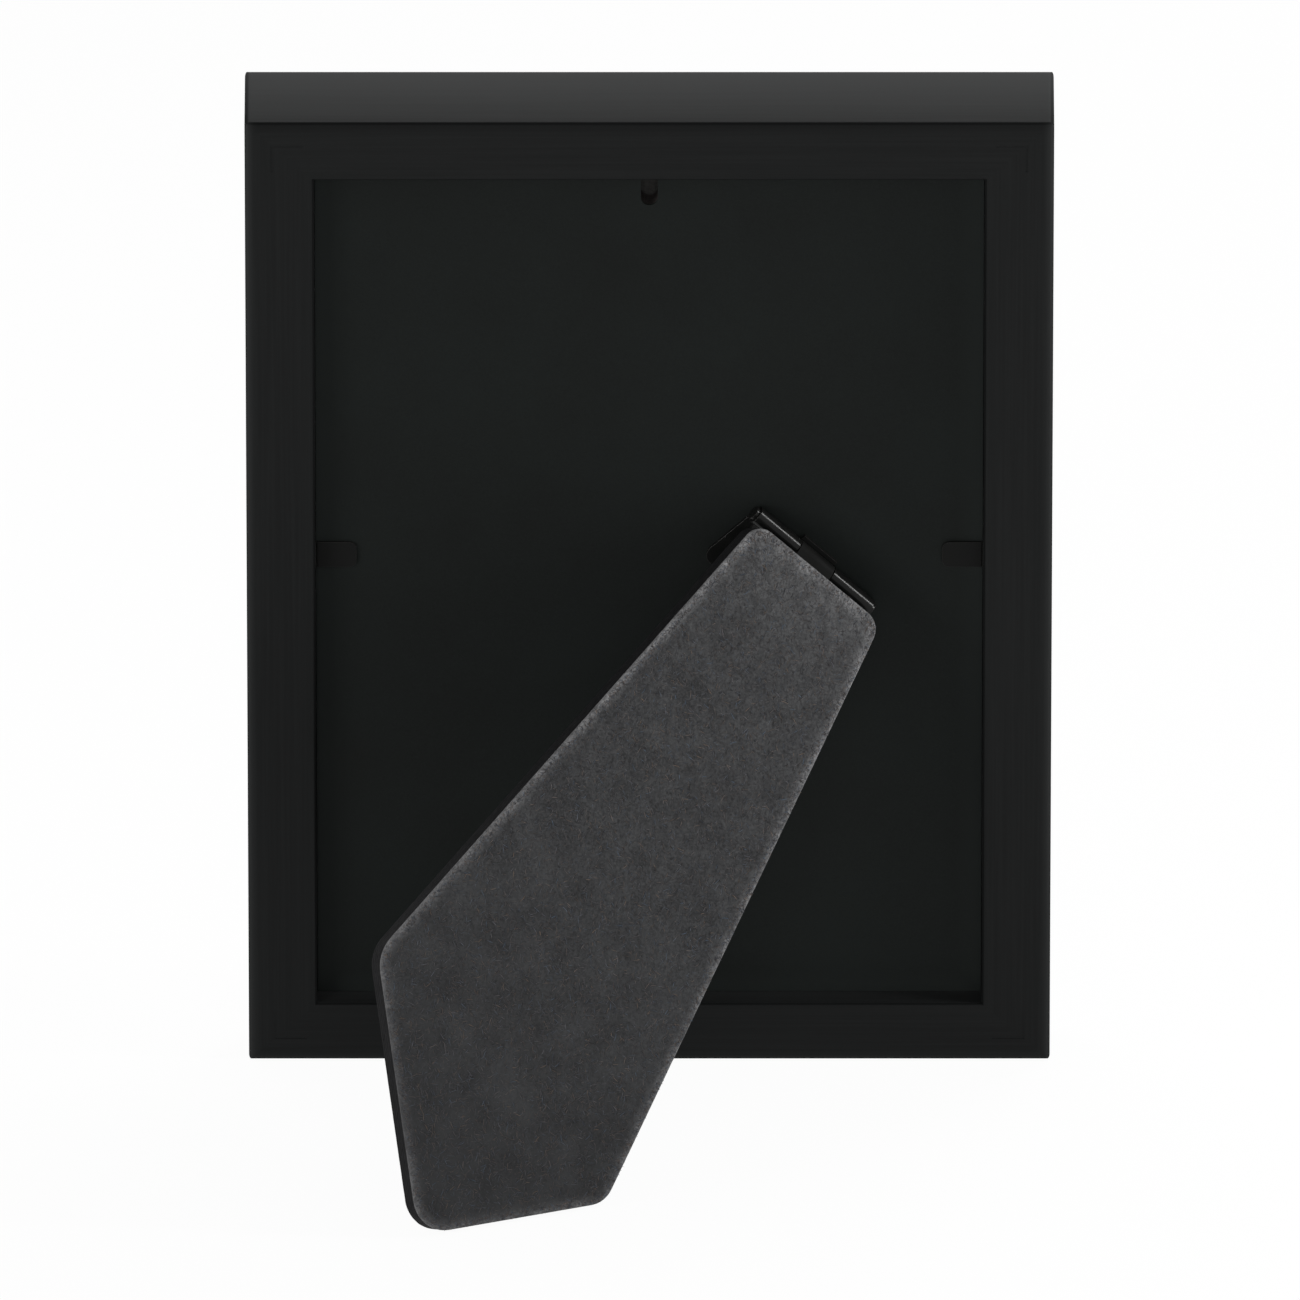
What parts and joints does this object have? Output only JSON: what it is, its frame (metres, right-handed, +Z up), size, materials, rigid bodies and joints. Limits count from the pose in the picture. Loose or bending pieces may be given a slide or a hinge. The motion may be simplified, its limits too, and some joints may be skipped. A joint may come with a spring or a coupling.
{
  "type": "easel back photo frame",
  "caption": "Upright black photo frame that leans back on a flocked, diagonally hinged easel leg, with a glazed front and a back panel held by bendable tabs.",
  "frame": {"origin": "middle of the footprint's bounding box on the table, with the frame standing upright on its bottom rail and leg", "axes": "+Z up from the table, +Y towards the back where the leg stands, -Y is the picture side, +X to the right seen from the front"},
  "size_m": [0.1248, 0.1012, 0.1724],
  "materials": {
    "black_moulding": "satin black finish over wood, fine streaks along the length",
    "nail_steel": "steel strip painted over with the moulding",
    "float_glass": "clear float glass",
    "insert_paper": "plain matt paper",
    "grey_card": "uncoated dark grey card",
    "hardboard": "pressed fibre board, dyed black",
    "black_paper": "smooth matt black lining paper",
    "black_steel": "blackened steel, semi gloss",
    "leg_board": "dense black board with die-cut edges",
    "flocked_felt": "short charcoal flock"
  },
  "bodies": {
    "frame": {"top_rail": "black_moulding", "bottom_rail": "black_moulding", "left_rail": "black_moulding", "right_rail": "black_moulding", "corner_v_nails": "nail_steel", "glass_pane": "float_glass", "photo_insert": "insert_paper", "filler_card": "grey_card", "back_panel": "hardboard", "back_panel_paper": "black_paper", "hinge_panel_leaf": "black_steel", "panel_rivets": "black_steel", "hinge_pin": "black_steel", "left_tab_prong": "black_steel", "right_tab_prong": "black_steel"},
    "leg": {"leg_core": "leg_board", "leg_felt": "flocked_felt", "leg_liner": "black_paper", "hinge_leg_leaf": "black_steel", "leg_rivets": "black_steel"},
    "left_tab": {"left_flex_tab": "black_steel"},
    "right_tab": {"right_flex_tab": "black_steel"}
  },
  "joints": [
    {"name": "leg_fold", "type": "hinge", "parent": "frame", "child": "leg", "pos_m": [-0.0252, -0.0121, 0.08965], "axis": [-0.7071, -0.1973, -0.679], "range_deg": [0, 40]},
    {"name": "left_tab_bend", "type": "hinge", "parent": "frame", "child": "left_tab", "pos_m": [-0.0514, -0.01337, 0.09033], "axis": [0, 0.279, 0.9603], "range_deg": [0, 85]},
    {"name": "right_tab_bend", "type": "hinge", "parent": "frame", "child": "right_tab", "pos_m": [0.0514, -0.01337, 0.09033], "axis": [0, -0.279, -0.9603], "range_deg": [0, 85]}
  ]
}
